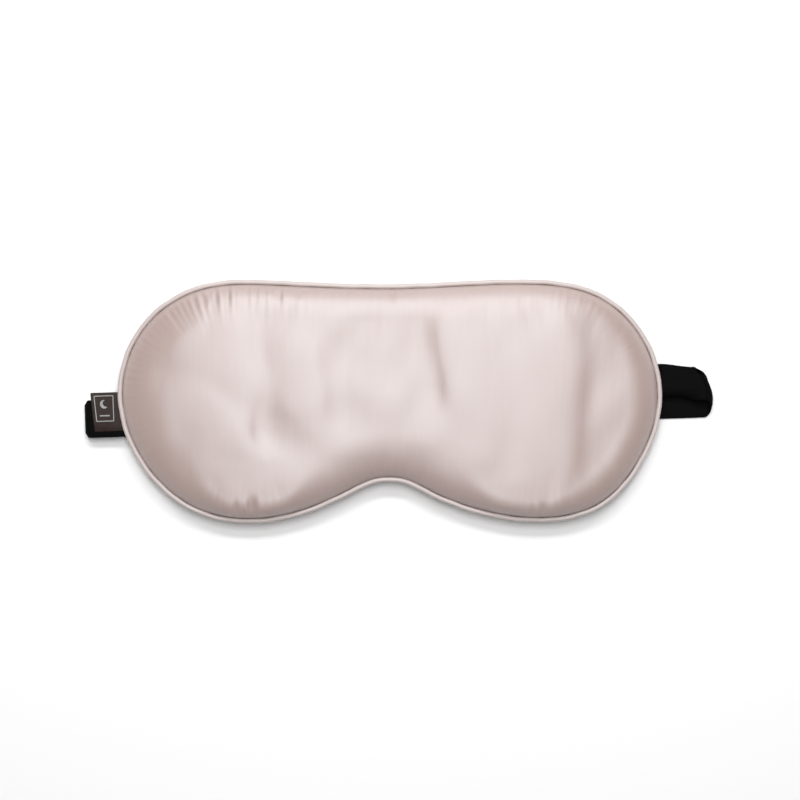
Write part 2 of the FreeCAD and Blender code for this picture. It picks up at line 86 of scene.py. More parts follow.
SEAM_L = -101.8              # millimetres from the middle of the pad to the hinge line of the left strap
seam_left = joint_place("left_strap_swing")
seam_right = joint_place("right_strap_swing")
ALONG = (seam_right - seam_left) / norm(seam_right - seam_left)
ACROSS = np.array([-ALONG[1], ALONG[0], 0.0])
STRAP_ORIGIN = seam_left * [1, 1, 0] - ALONG * SEAM_L * MM
PAD_MIDDLE = np.array([STRAP_ORIGIN[0], 0.0, 0.0])

STRAP_WIDTH = 15 * MM
STRAP_THICKNESS = 0.9 * MM
RIGHT_LEAD_OFFSET = 7 * MM

liner_low, liner_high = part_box("blackout_liner")
SEAM_LEVEL = (liner_low[2] + liner_high[2]) / 2
CROWN_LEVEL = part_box("front_panel")[1][2]
PIPING_RADIUS = (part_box("piping_tape")[1][2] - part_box("piping_tape")[0][2]) / 2
CORD_RADIUS = 0.55 * MM
CHANNEL_LEVEL = 6.2 * MM     # the back where it lies over the folded strap

SEAM_LENGTH = 542.0          # millimetres
# Points on the pad's seam line, anticlockwise from the nose notch, in millimetres from the pad's middle.
SEAM_POINTS = [
    (4.5, -31.4), (16.5, -36.7), (36.0, -43.9), (61.0, -47.0), (83.4, -41.3),
    (99.8, -23.2), (107.0, -1.0), (101.3, 24.5), (83.0, 42.2), (53.0, 47.5),
    (4.0, 45.7), (-46.0, 47.1), (-75.0, 45.3), (-96.3, 32.0), (-107.1, 5.5),
    (-99.1, -23.2), (-75.4, -43.9), (-53.6, -47.4), (-35.7, -44.3), (-16.5, -36.2),
    (-5.5, -31.5),
]


def on_strap(x, y, z):
    """A place given along and across the strap line, and its height."""
    x, y, z = np.broadcast_arrays(x, y, z)
    return STRAP_ORIGIN + x[..., None] * ALONG + y[..., None] * ACROSS + z[..., None] * [0, 0, 1]


# ---- small tools

def smoothstep(value, low, high):
    share = np.clip((value - low) / (high - low), 0, 1)
    return share * share * (3 - 2 * share)


def waves(points, size, seed, count=24):
    """Smooth noise of about unit height: a sum of plane waves in random directions, of about one size."""
    random = np.random.default_rng(seed)
    total = np.zeros(len(points))
    for _ in range(count):
        direction = random.normal(size=points.shape[1])
        direction *= random.uniform(0.6, 1.4) / size / norm(direction)
        total += np.sin(points @ direction * 2 * math.pi + random.uniform(0, 2 * math.pi))
    return total / math.sqrt(count / 2) / 1.5


def in_scene(name, data):
    made = bpy.data.objects.new(name, data)
    bpy.context.scene.collection.objects.link(made)
    return made


def new_piece(name, points, faces, material):
    mesh = bpy.data.meshes.new(name)
    mesh.from_pydata([tuple(point) for point in points], [], faces)
    mesh.validate()
    mesh.polygons.foreach_set("use_smooth", [True] * len(mesh.polygons))
    piece = in_scene(name, mesh)
    mesh.materials.append(material)
    return piece


def settle(piece, slot, *nodes, body=None):
    """Hides the parts that a piece stands in for, and attaches it to its body, if only one carries it. The
    slot is not used.
    """
    if body:
        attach(piece, body)
    if nodes:
        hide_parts(*nodes)


def set_uv(piece, places):
    """Gives each vertex of a piece its place in millimetres on the flat fabric."""
    layer = piece.data.uv_layers.new(name="millimetres")
    corner = np.empty(len(piece.data.loops), int)
    piece.data.loops.foreach_get("vertex_index", corner)
    layer.data.foreach_set("uv", places[corner].ravel())


def flat_uv(piece):
    set_uv(piece, read_points(piece.data)[:, :2] / MM)


def read_points(mesh):
    flat = np.empty(len(mesh.vertices) * 3)
    mesh.vertices.foreach_get("co", flat)
    return flat.reshape(-1, 3)


def grid_faces(rows, columns, close_rows=False, close_columns=False):
    faces = []
    for row in range(rows if close_rows else rows - 1):
        for column in range(columns if close_columns else columns - 1):
            below = (row + 1) % rows
            beside = (column + 1) % columns
            faces.append((row * columns + column, row * columns + beside,
                          below * columns + beside, below * columns + column))
    return faces


def unit(rows):
    return rows / norm(rows, axis=-1, keepdims=True)


def running_length(line):
    return np.concatenate([[0], np.cumsum(norm(np.diff(line, axis=0), axis=1))])


def closed_spline(points, count):
    """Evenly spaced places on the smooth closed curve through some points."""
    points = np.asarray(points, float)
    number = len(points)
    chord = norm(np.roll(points, -1, 0) - points, axis=1)
    before = np.roll(chord, 1)
    matrix = np.zeros((number, number))
    target = np.zeros((number, 2))
    for i in range(number):
        matrix[i, i - 1] += chord[i]
        matrix[i, i] += 2 * (chord[i] + before[i])
        matrix[i, (i + 1) % number] += before[i]
        target[i] = 3 * (chord[i] * (points[i] - points[i - 1]) / before[i]
                         + before[i] * (points[(i + 1) % number] - points[i]) / chord[i])
    slope = np.linalg.solve(matrix, target)
    share = np.linspace(0, 1, 60, endpoint=False)[:, None]
    curve = []
    for i in range(number):
        j = (i + 1) % number
        curve.append((2 * share**3 - 3 * share**2 + 1) * points[i]
                     + (share**3 - 2 * share**2 + share) * slope[i] * chord[i]
                     + (3 * share**2 - 2 * share**3) * points[j]
                     + (share**3 - share**2) * slope[j] * chord[i])
    curve = np.concatenate(curve)
    closed = np.vstack([curve, curve[:1]])
    length = running_length(closed)
    places = np.linspace(0, length[-1], count, endpoint=False)
    return np.stack([np.interp(places, length, closed[:, axis]) for axis in (0, 1)], axis=1)


def depth_and_place(points):
    """How far each flat point is inside the seam line (negative outside), and where round it, from 0 to 1."""
    depth = np.empty(len(points))
    place = np.empty(len(points))
    following = np.roll(SEAM, -1, 0)
    span = following - SEAM
    rise = np.where(np.abs(span[:, 1]) < 1e-12, 1e-12, span[:, 1])
    for start in range(0, len(points), 1500):
        part = points[start:start + 1500]
        square = ((part[:, None] - SEAM[None]) ** 2).sum(2)
        nearest = square.argmin(1)
        gap = part - SEAM[nearest]
        step = span[nearest]
        share = np.clip((gap * step).sum(1) / (step * step).sum(1), -1, 1)
        distance = norm(gap - share[:, None] * step, axis=1)
        above = (SEAM[None, :, 1] > part[:, None, 1]) != (following[None, :, 1] > part[:, None, 1])
        cross = span[:, 0] * (part[:, None, 1] - SEAM[:, 1]) / rise + SEAM[:, 0]
        inside = (above & (part[:, None, 0] < cross)).sum(1) % 2 == 1
        depth[start:start + 1500] = np.where(inside, distance, -distance)
        place[start:start + 1500] = ((nearest + share) / len(SEAM)) % 1
    return depth, place


def seam_line(count):
    """Places on the seam, and the directions from them into the pad."""
    line = closed_spline(np.array(SEAM_POINTS) * MM, count)
    along = unit(np.roll(line, -1, 0) - np.roll(line, 1, 0))
    return line, np.stack([-along[:, 1], along[:, 0]], axis=1)


SEAM, _ = seam_line(1400)


# ---- materials

def add_node(tree, kind, inputs=(), **settings):
    """A new shader node. A value for an input is a constant or another node's output."""
    made = tree.nodes.new(kind)
    for key, value in settings.items():
        setattr(made, key, value)
    for socket, value in dict(inputs).items():
        if isinstance(value, bpy.types.NodeSocket):
            tree.links.new(value, made.inputs[socket])
        else:
            made.inputs[socket].default_value = value
    return made


def scaled(color, share):
    return tuple(channel * share for channel in color)


class Shader:
    """A short way to write a node material."""

    def __init__(self, name, color, roughness, **settings):
        self.material = bpy.data.materials.new(name)
        self.material.use_nodes = True
        self.material.diffuse_color = (*color, 1)
        self.tree = self.material.node_tree
        self.main = self.tree.nodes["Principled BSDF"]
        self.main.inputs["Base Color"].default_value = (*color, 1)
        self.main.inputs["Roughness"].default_value = roughness
        for socket, value in settings.items():
            self.main.inputs[socket.replace("_", " ")].default_value = value

    def node(self, kind, inputs=(), **settings):
        return add_node(self.tree, kind, inputs, **settings)

    def link(self, output, socket):
        self.tree.links.new(output, self.main.inputs[socket])

    def place(self, coordinates, scale=(1, 1, 1)):
        """Texture coordinates, stretched by a scale for each axis."""
        source = self.node("ShaderNodeTexCoord").outputs[coordinates]
        return self.node("ShaderNodeMapping", {"Scale": scale, "Vector": source}).outputs["Vector"]

    def noise(self, where, scale, detail=2.0):
        inputs = {"Scale": scale, "Detail": detail, "Vector": where}
        return self.node("ShaderNodeTexNoise", inputs).outputs["Fac"]

    def wave(self, where, scale, direction, distortion=0.0):
        inputs = {"Scale": scale, "Distortion": distortion, "Vector": where}
        return self.node("ShaderNodeTexWave", inputs, bands_direction=direction).outputs["Fac"]

    def math(self, operation, first, second):
        return self.node("ShaderNodeMath", {0: first, 1: second}, operation=operation).outputs[0]

    def mix(self, first, share, second, other):
        return self.math("ADD", self.math("MULTIPLY", first, share), self.math("MULTIPLY", second, other))

    def tint(self, value, *stops):
        """The colour of the surface goes from the first of two stops to the second."""
        made = self.node("ShaderNodeValToRGB", {"Fac": value})
        for element, (place, color) in zip(made.color_ramp.elements, stops):
            element.position = place
            element.color = (*color, 1)
        self.link(made.outputs["Color"], "Base Color")

    def uneven(self, value, low, high):
        """The roughness of the surface goes from low to high."""
        made = self.node("ShaderNodeMapRange", {"To Min": low, "To Max": high, "Value": value})
        self.link(made.outputs["Result"], "Roughness")

    def bump(self, height, distance, strength):
        made = self.node("ShaderNodeBump", {"Distance": distance, "Strength": strength, "Height": height})
        self.link(made.outputs["Normal"], "Normal")


def satin_material(name, color, deep, roughness, specular):
    """Silk satin: long parallel floats that catch the light in a soft band, with faint slubs."""
    shader = Shader(name, color, roughness, Specular_IOR_Level=specular,
                    Specular_Tint=(0.88, 0.95, 1.0, 1.0), Coat_Weight=0.45, Coat_Roughness=0.42,
                    Sheen_Weight=0.05, Sheen_Roughness=0.35, Anisotropic=0.6, Anisotropic_Rotation=0.25)
    tangent = shader.node("ShaderNodeTangent", direction_type="UV_MAP", uv_map="millimetres")
    shader.link(tangent.outputs["Tangent"], "Tangent")
    fine = shader.noise(shader.place("Object", (9000, 1400, 9000)), 1.0)
    slub = shader.noise(shader.place("Object", (700, 60, 700)), 1.0, 3.0)
    patch = shader.noise(shader.place("Object", (26, 26, 26)), 1.0)
    tone = shader.mix(slub, 0.35, patch, 0.65)
    shader.tint(tone, (0.3, deep), (0.7, color))
    shader.uneven(patch, roughness - 0.05, roughness + 0.06)
    height = shader.math("ADD", shader.math("MULTIPLY", fine, 0.4), slub)
    shader.bump(height, 0.00004, 0.5)
    return shader.material


def elastic_material(name, color):
    """Knitted elastic: fine ribs along the strap and rows of stitches across it. UV is in millimetres."""
    shader = Shader(name, color, 0.6, Specular_IOR_Level=0.03)
    where = shader.place("UV")
    ribs = shader.wave(where, 0.42, "Y")
    rows = shader.wave(where, 0.62, "X", 0.6)
    patch = shader.noise(where, 0.35, 3.0)
    knit = shader.math("MULTIPLY", ribs, shader.math("ADD", shader.math("MULTIPLY", rows, 0.6), 0.4))
    tone = shader.mix(knit, 0.5, patch, 0.5)
    shader.tint(tone, (0.2, color), (0.8, scaled(color, 2.4)))
    shader.uneven(patch, 0.55, 0.75)
    shader.bump(knit, 0.00012, 0.6)
    return shader.material


def ribbon_material(name, color):
    """Woven label ribbon with a fine cross rib. UV is in millimetres."""
    shader = Shader(name, color, 0.45, Specular_IOR_Level=0.15)
    where = shader.place("UV")
    ribs = shader.wave(where, 1.4, "X", 0.2)
    patch = shader.noise(where, 0.5, 3.0)
    shader.tint(patch, (0.3, color), (0.75, scaled(color, 1.5)))
    shader.bump(ribs, 0.00004, 0.5)
    return shader.material


def thread_material(name, color, roughness=0.5):
    """Twisted thread with a soft fuzz."""
    shader = Shader(name, color, roughness, Specular_IOR_Level=0.5, Sheen_Weight=0.3, Sheen_Roughness=0.5)
    where = shader.place("Object", (4000, 4000, 4000))
    twist = shader.wave(where, 1.0, "DIAGONAL", 1.0)
    shader.tint(twist, (0.2, scaled(color, 0.7)), (0.8, color))
    shader.bump(twist, 0.00005, 0.6)
    return shader.material


def plastic_material(name, color):
    """Moulded nylon: a faint grain and slightly uneven gloss."""
    shader = Shader(name, color, 0.32, Specular_IOR_Level=0.5, Coat_Weight=0.15, Coat_Roughness=0.25)
    where = shader.place("Object")
    grain = shader.noise(where, 2600.0, 3.0)
    patch = shader.noise(where, 180.0)
    shader.uneven(patch, 0.26, 0.42)
    shader.bump(grain, 0.00002, 0.4)
    return shader.material


def wadding_material(name, color):
    """Matted fibre, as on wadding, cord and the liner."""
    shader = Shader(name, color, 0.9, Sheen_Weight=0.4, Sheen_Roughness=0.6)
    where = shader.place("Object")
    fibres = shader.noise(where, 900.0, 6.0)
    shader.tint(fibres, (0.3, scaled(color, 0.75)), (0.7, color))
    shader.bump(fibres, 0.0004, 0.6)
    return shader.material


def floor_material():
    """White paper with a faint grain."""
    shader = Shader("pale_paper", (0.84, 0.84, 0.84), 0.75, Specular_IOR_Level=0.1)
    where = shader.place("Object")
    shader.bump(shader.noise(where, 900.0, 4.0), 0.00003, 0.3)
    return shader.material


SATIN = satin_material("blush_satin", (0.385, 0.293, 0.270), (0.358, 0.268, 0.247), 0.43, 1.0)
PIPING = satin_material("pale_satin", (0.50, 0.435, 0.415), (0.46, 0.395, 0.375), 0.45, 0.4)
ELASTIC = elastic_material("black_elastic", (0.0018, 0.0018, 0.0020))
LABEL = ribbon_material("taupe_ribbon", (0.022, 0.0145, 0.0115))
SILVER = thread_material("silver_thread", (0.42, 0.42, 0.43), 0.35)
BLACK_THREAD = thread_material("black_thread", (0.012, 0.012, 0.013))
PINK_THREAD = thread_material("pink_thread", (0.74, 0.64, 0.61))
NYLON = plastic_material("black_nylon", (0.014, 0.014, 0.015))
WADDING = wadding_material("white_wadding", (0.85, 0.85, 0.83))
LINER = wadding_material("black_liner", (0.02, 0.02, 0.02))
COTTON = wadding_material("cotton_cord", (0.8, 0.77, 0.72))


# ---- pad

EDGE_INSET = 0.7 * MM        # where the satin ends under the piping
CREASE_INSET = 1.1 * MM      # where it starts to rise
SEAM_GAP = 0.1 * MM          # between each satin panel and the middle of the seam
RINGS = [0.0, 0.7, 1.5, 2.4, 3.5, 4.8]
SPACING = 1.5 * MM
SWELL_RUN = 22 * MM
FRONT_RISE = CROWN_LEVEL - SEAM_LEVEL + 1.2 * MM     # the satin stands a little proud of its solid


def pad_sheet(inset, spacing):
    """A flat triangle mesh inside the seam line: even rings along the edge, then an even field."""
    count = int(SEAM_LENGTH * MM / (0.9 * spacing))
    line, normals = seam_line(count)
    rings = [line + normals * (inset + ring * spacing / 1.5) for ring in RINGS]
    reach = 110 * MM
    row_height = spacing * math.sqrt(3) / 2
    rows = []
    for row in range(int(2 * reach / row_height)):
        y = -reach + row * row_height
        x = np.arange(-reach, reach, spacing) + (row % 2) * spacing / 2
        rows.append(np.stack([x, np.full_like(x, y)], axis=1))
    field = np.concatenate(rows)
    depth, _ = depth_and_place(field)
    field = field[depth > inset + (RINGS[-1] + 1.0) * spacing / 1.5]
    points = np.concatenate(rings + [field])
    border = [(i, (i + 1) % count) for i in range(count)]
    mesh = delaunay_2d_cdt([Vector(point) for point in points], border, [list(range(count))], 1, 1e-7)
    return np.array([tuple(point) for point in mesh[0]]), [tuple(face) for face in mesh[2]], count


def swell(depth, run):
    """The share of full height at a depth inside the edge: a quarter ellipse, then flat."""
    share = np.clip(1 - depth / run, 0, 1)
    return np.sqrt(1 - share**2)


def crown(depth, run):
    """The same for the front, with a softer end to its rise."""
    share = np.clip(1 - depth / run, 0, 1)
    return (1 - share**3)**0.55


def baked(piece):
    """The points and faces of a piece as its modifiers leave it. The piece itself is deleted."""
    graph = bpy.context.evaluated_depsgraph_get()
    mesh = bpy.data.meshes.new_from_object(piece.evaluated_get(graph))
    points, faces = read_points(mesh), [tuple(face.vertices) for face in mesh.polygons]
    bpy.data.objects.remove(piece)
    bpy.data.meshes.remove(mesh)
    return points, faces


def inflate(points, faces, held):
    """Cloth simulation: the sheet, cut a little too large and held along its edge, is blown up."""
    scale = 10.0
    piece = new_piece("sheet_in_tension", points * scale, faces, SATIN)
    group = piece.vertex_groups.new(name="held")
    group.add(list(held), 1.0, "REPLACE")
    cloth = piece.modifiers.new("cloth", "CLOTH")
    settings = {
        "quality": 8, "mass": 0.3, "tension_stiffness": 40, "compression_stiffness": 40,
        "shear_stiffness": 12, "bending_stiffness": 0.02, "air_damping": 2, "vertex_group_mass": "held",
        "shrink_min": -0.035, "use_pressure": True, "uniform_pressure_force": 6,
    }
    for name, value in settings.items():
        setattr(cloth.settings, name, value)
    cloth.settings.effector_weights.gravity = 0
    cloth.collision_settings.use_collision = False
    last_frame = 36
    cloth.point_cache.frame_start = 1
    cloth.point_cache.frame_end = last_frame
    for number in range(1, last_frame + 1):
        bpy.context.scene.frame_set(number)
    blown, _ = baked(piece)
    bpy.context.scene.frame_set(1)
    return blown / scale


def subdivided(points, faces):
    """One level of smooth subdivision."""
    piece = new_piece("to_subdivide", points, faces, SATIN)
    level = piece.modifiers.new("level", "SUBSURF")
    level.levels = 1
    level.boundary_smooth = "PRESERVE_CORNERS"
    return baked(piece)


def smoothed(values, points, radius):
    """Values averaged over a neighbourhood, by way of a coarse grid."""
    cell = radius / 3
    exact = (points - points.min(0)) / cell + 9
    index = np.floor(exact).astype(int)
    part = exact - index
    shape = index.max(0) + 10
    total = np.zeros(shape)
    weight = np.zeros(shape)
    corners = [(np.array([i, j]), np.abs(1 - i - part[:, 0]) * np.abs(1 - j - part[:, 1]))
               for i in (0, 1) for j in (0, 1)]
    for corner, share in corners:
        np.add.at(total, tuple((index + corner).T), values * share)
        np.add.at(weight, tuple((index + corner).T), share)
    steps = np.arange(-9, 10)
    kernel = np.exp(-0.5 * (steps * cell / radius)**2)
    for axis in (0, 1):
        total = np.apply_along_axis(np.convolve, axis, total, kernel, "same")
        weight = np.apply_along_axis(np.convolve, axis, weight, kernel, "same")
    mean = total / np.maximum(weight, 1e-9)
    return sum(mean[tuple((index + corner).T)] * share for corner, share in corners)


def along_path(points, path):
    """How far each point is to the side of a path down the pad, and how far down the path, from 0 to 1."""
    path = np.array(path[::-1], float) * MM
    levels = np.linspace(path[0, 1], path[-1, 1], 161)
    middle = np.interp(levels, path[:, 1], path[:, 0])
    window = np.hanning(41)
    padded = np.pad(middle, 20, mode="reflect", reflect_type="odd")
    middle = np.convolve(padded, window / window.sum(), "valid")
    lean = np.gradient(middle, levels)
    y = points[:, 1]
    side = (np.interp(y, levels, middle) - points[:, 0]) / np.sqrt(1 + np.interp(y, levels, lean)**2)
    return side, 1 - np.clip((y - levels[0]) / (levels[-1] - levels[0]), 0, 1)


def fade_along(place):
    return smoothstep(place, 0, 0.45) * (1 - smoothstep(place, 0.65, 1))


def fold(points, path, width, slope):
    """A soft fold: on a band along a path the cloth steps down, and it recovers slowly on both sides."""
    side, place = along_path(points, path)
    across = side / (width * MM)
    return slope * width * MM * np.tanh(across) * np.exp(-0.5 * (across / 2.6)**2) * fade_along(place)


def ridge(points, path, width, height):
    side, place = along_path(points, path)
    return height * MM * np.exp(-0.5 * (side / (width * MM))**2) * fade_along(place)


# Folds of the front: a path from the brow down, half the band's width in millimetres, and its slope.
FOLDS = [
    ([(-60.5, 50), (-58.6, 36), (-55.6, 19.3), (-54.2, 5.8), (-52.8, -8), (-52.4, -33)], 7.0, 0.21),
    ([(-78, 14), (-70, 4.5), (-64, -3.0), (-58.4, -10.0), (-53, -24)], 4.2, 0.22),
    ([(-16.5, 46), (-21, 33), (-26.0, 24), (-26.6, 15), (-25.2, 2), (-23.6, -24)], 6.5, 0.14),
    ([(12.5, 52), (15.4, 37), (18.1, 28.4), (20.9, 12.5), (24.6, 1.8), (33, -18)], 7.0, -0.16),
    ([(73.2, 46), (74.6, 25), (75.4, 8.5), (73.0, -14), (74.2, -44)], 5.0, 0.18),
    ([(52, 40), (50, 20), (53, 0), (50, -25)], 6.0, -0.08),
]
# Swells between them: a path, half the width and the height in millimetres.
RIDGES = [
    ([(-1.5, 48), (-1.0, 28), (-2.0, 16), (-4.8, 3), (-7, -20)], 7.0, 0.4),
    ([(-41, 44), (-41, 20), (-39, 2), (-38, -24)], 9.0, 0.35),
    ([(36, 40), (37, 15), (38, -5), (36, -30)], 9.0, 0.4),
]

# Small single gathers near the seam: place, half width, half length and depth in millimetres.
GATHERS = [
    (-60.7, -42.8, 0.9, 1.8, 0.6), (-54.4, -42.0, 1.2, 2.4, 0.9), (-57.8, -43.4, 0.7, 1.4, 0.35),
    (60.7, -42.8, 0.9, 1.7, 0.6), (56.4, -43.4, 0.7, 1.3, 0.3), (-43.7, 41.8, 0.9, 1.9, 0.35),
    (-35.8, 43.0, 0.9, 1.5, 0.4), (1.2, 42.4, 0.9, 1.5, 0.35), (-63.5, 42.0, 0.8, 2.2, 0.3),
    (-68.5, 41.5, 0.8, 2.0, 0.3), (-73.0, 40.5, 0.8, 1.8, 0.3),
]


def gathers(points):
    """How far the single gathers sink the front."""
    total = np.zeros(len(points))
    for x, y, half_width, half_length, sink in GATHERS:
        across = (points[:, 0] / MM - x) / half_width
        along = (points[:, 1] / MM - y) / half_length
        total += sink * MM * np.exp(-0.5 * (across**2 + along**2))
    return total


def puckers(depth, place, seed, reach, height):
    """Small gathers that run in from the seam. place goes round the seam, from 0 to 1."""
    random = np.random.default_rng(seed)
    total = np.zeros(len(depth))
    for wavelength, share in ((3.1, 1.0), (4.7, 0.8), (7.9, 0.7)):
        count = round(SEAM_LENGTH / wavelength)
        phase = random.uniform(0, 2 * math.pi)
        drift = 1.5 * np.sin(2 * math.pi * (place * 9 + random.uniform()))
        drift += 1.1 * np.sin(2 * math.pi * (place * 23 + random.uniform()))
        total += share * np.sin(2 * math.pi * place * count + phase + drift)
    return height * total * smoothstep(depth, 0, 1.2 * MM) * np.exp(-depth / reach)


# Where the seam is more gathered: a point near it in millimetres, a share of its length, and how much more.
PUCKERED = [
    (-66, 45.8, 0.035, 1.0), (-85, 41, 0.03, 0.6), (-42, 47, 0.02, 0.4), (0, 45.7, 0.01, 0.5),
    (-58, -47, 0.014, 0.4), (60, -47, 0.010, 0.3), (0, -31, 0.015, 0.4),
]


def seam_patch(place, x, y, width, share):
    """A weight that is high near one place on the seam."""
    middle = depth_and_place(np.array([[x, y]]) * MM)[1][0]
    gap = np.abs((place - middle + 0.5) % 1 - 0.5)
    return share * np.exp(-0.5 * (gap / width)**2)


def front_height(flat, blown):
    """Heights of the front above the seam plane, from the blown cloth with its folds laid in."""
    depth, place = depth_and_place(flat)
    depth = np.maximum(depth - CREASE_INSET, 0)
    x, y = flat[:, 0], flat[:, 1]
    low = smoothstep(-y, 12 * MM, 36 * MM) * smoothstep(np.abs(x), 24 * MM, 44 * MM)
    high = smoothstep(y, 10 * MM, 34 * MM)
    # The rim is wide at the left end and at the notch, and narrow along the long sides.
    run = (16 + 8 * smoothstep(-x, 60 * MM, 100 * MM)
           - (9 * low + 3 * high) * (1 - smoothstep(np.abs(x), 60 * MM, 88 * MM))
           + 8 * np.exp(-0.5 * (x / (20 * MM))**2) * smoothstep(-y, 0, 25 * MM)) * MM
    base = FRONT_RISE * crown(depth, run)
    if blown is not None:
        loft = np.maximum(smoothed(blown, flat, 6 * MM), 0) / blown.max()
        base = base * (0.80 + 0.20 * loft)
        grain = smoothed(blown, flat, 1.2 * MM) - smoothed(blown, flat, 4 * MM)
        calm = 0.12 - 0.10 * np.exp(-0.5 * (flat[:, 0] / (26 * MM))**2)
        base = base + calm * np.clip(grain, -0.9 * MM, 0.9 * MM) * smoothstep(depth, 0, 8 * MM)
    inner = smoothstep(depth, 2 * MM, 14 * MM)
    for path, width, slope in FOLDS:
        base = base + inner * fold(flat, path, width, slope)
    for path, width, height in RIDGES:
        base = base + inner * ridge(flat, path, width, height)
    strong = 0.45 + sum(seam_patch(place, *spot) for spot in PUCKERED)
    base = base + strong * puckers(depth, place, 4, 4.2 * MM, 0.12 * MM)
    base = base + 0.12 * MM * inner * waves(flat, 24 * MM, 8) - gathers(flat)
    top = FRONT_RISE - 0.5 * MM
    over = np.maximum(base - top, 0)
    return np.where(base > top, top + over / (1 + over / (1.2 * MM)), base)


flat_points, pad_faces, edge_count = pad_sheet(EDGE_INSET, SPACING)
level_points = np.column_stack([flat_points, np.zeros(len(flat_points))])
flat_depth, _ = depth_and_place(flat_points)
start = np.column_stack([flat_points, 0.5 * FRONT_RISE * swell(flat_depth - EDGE_INSET, SWELL_RUN)])
blown_points = inflate(start, pad_faces, range(edge_count))
fine_flat, fine_faces = subdivided(level_points, pad_faces)
fine_blown = subdivided(blown_points, pad_faces)[0][:, 2]

front_z = front_height(fine_flat[:, :2], fine_blown)


def satin_panel(name, node, slot, heights, faces):
    points = np.column_stack([fine_flat[:, :2], heights]) + PAD_MIDDLE
    panel = new_piece(name, points, faces, SATIN)
    flat_uv(panel)
    settle(panel, slot, node, body="mask")


satin_panel("satin_front", "front_panel", "satin", SEAM_LEVEL + SEAM_GAP + front_z, fine_faces)


def back_level(flat):
    """Heights of the back: puffed, flattened by the surface, and pressed in along the folded strap."""
    depth, place = depth_and_place(flat)
    depth = np.maximum(depth - EDGE_INSET, 0)
    level = SEAM_LEVEL - SEAM_GAP - (SEAM_LEVEL + 0.6 * MM) * swell(depth, SWELL_RUN)
    level += puckers(depth, place, 11, 6 * MM, 0.12 * MM)
    level = 0.5 * (level + np.sqrt(level**2 + (0.35 * MM)**2)) - 0.02 * MM
    gap = flat + PAD_MIDDLE[:2] - STRAP_ORIGIN[:2]
    along = gap @ ALONG[:2]
    beside = gap @ ACROSS[:2] - 3.5 * MM * smoothstep(along, 70 * MM, 95 * MM)
    pressed = (CHANNEL_LEVEL + 0.05 * MM) * (1 - smoothstep(np.abs(beside), 11.2 * MM, 17.5 * MM))
    pressed += 0.1 * MM * waves(flat, 18 * MM, 5)
    return np.clip(np.maximum(level, pressed), 0, SEAM_LEVEL - SEAM_GAP)


satin_panel("satin_back", "back_panel", "satin_back", back_level(fine_flat[:, :2]),
            [face[::-1] for face in fine_faces])


def wadding(name, node, upper):
    """The filling between a satin panel and the seam plane, as a closed body a little inside them."""
    flat, faces, count = pad_sheet(3.6 * MM, 3.5 * MM)
    if upper:
        high = SEAM_LEVEL + SEAM_GAP + front_height(flat, None) * 0.8 - 0.9 * MM
        low = np.full(len(flat), SEAM_LEVEL + 0.2 * MM)
        high = np.maximum(high, low + 0.1 * MM)
    else:
        high = np.full(len(flat), SEAM_LEVEL - 0.2 * MM)
        low = np.minimum(back_level(flat) + 0.7 * MM, high - 0.1 * MM)
    number = len(flat)
    points = np.concatenate([np.column_stack([flat, high]), np.column_stack([flat, low])]) + PAD_MIDDLE
    sides = [(i, i + number, (i + 1) % count + number, (i + 1) % count) for i in range(count)]
    under = [tuple(corner + number for corner in face[::-1]) for face in faces]
    piece = new_piece(name, points, faces + under + sides, WADDING)
    settle(piece, "wadding", node, body="mask")


wadding("wadding_front", "front_wadding", True)
wadding("wadding_back", "back_wadding", False)


def piping():
    """The satin-covered cord: a tube along the seam, slightly gathered, with a flange into the seam."""
    count = 1500
    line, normals = seam_line(count)
    places = np.arange(count) / count
    random = np.random.default_rng(3)
    gather = np.zeros(count)
    for wavelength, share in ((1.3, 0.5), (2.1, 0.5), (4.3, 0.6), (11.0, 0.8)):
        gather += share * np.sin(2 * math.pi * places * round(SEAM_LENGTH / wavelength) + random.uniform(0, 6)
                                 + 2 * np.sin(2 * math.pi * places * 17 + random.uniform(0, 6)))
    radius = PIPING_RADIUS * 0.985 + 0.014 * MM * gather
    sway = 0.05 * MM * np.sin(2 * math.pi * places * 31) + 0.04 * MM * np.sin(2 * math.pi * places * 52 + 1)

    def bar(name, section, material):
        """A bar along the seam. Its section is given inward and up from the seam, all the way round it."""
        rows = [np.column_stack([line + normals * np.broadcast_to(inward, count)[:, None],
                                 SEAM_LEVEL + np.broadcast_to(lift, count)]) for inward, lift in section]
        return new_piece(name, np.stack(rows, axis=1).reshape(-1, 3) + PAD_MIDDLE,
                         grid_faces(count, len(section), close_rows=True, close_columns=True), material)

    def ring(number):
        return [(math.cos(angle), math.sin(angle)) for angle in 2 * math.pi * np.arange(number) / number]

    piece = bar("piping", [(radius * inward + sway, radius * up) for inward, up in ring(20)], PIPING)
    flat_uv(piece)
    flange = bar("piping_flange", [(0.6 * MM, 0.12 * MM), (3.0 * MM, 0.12 * MM), (3.0 * MM, -0.12 * MM),
                                   (0.6 * MM, -0.12 * MM)], PIPING)
    core = bar("piping_core", [(CORD_RADIUS * inward, CORD_RADIUS * up) for inward, up in ring(8)], COTTON)
    settle(piece, "piping", "piping_tape", body="mask")
    settle(flange, "piping", body="mask")
    settle(core, "cotton_cord", "piping_cord", body="mask")


piping()


# ---- strap

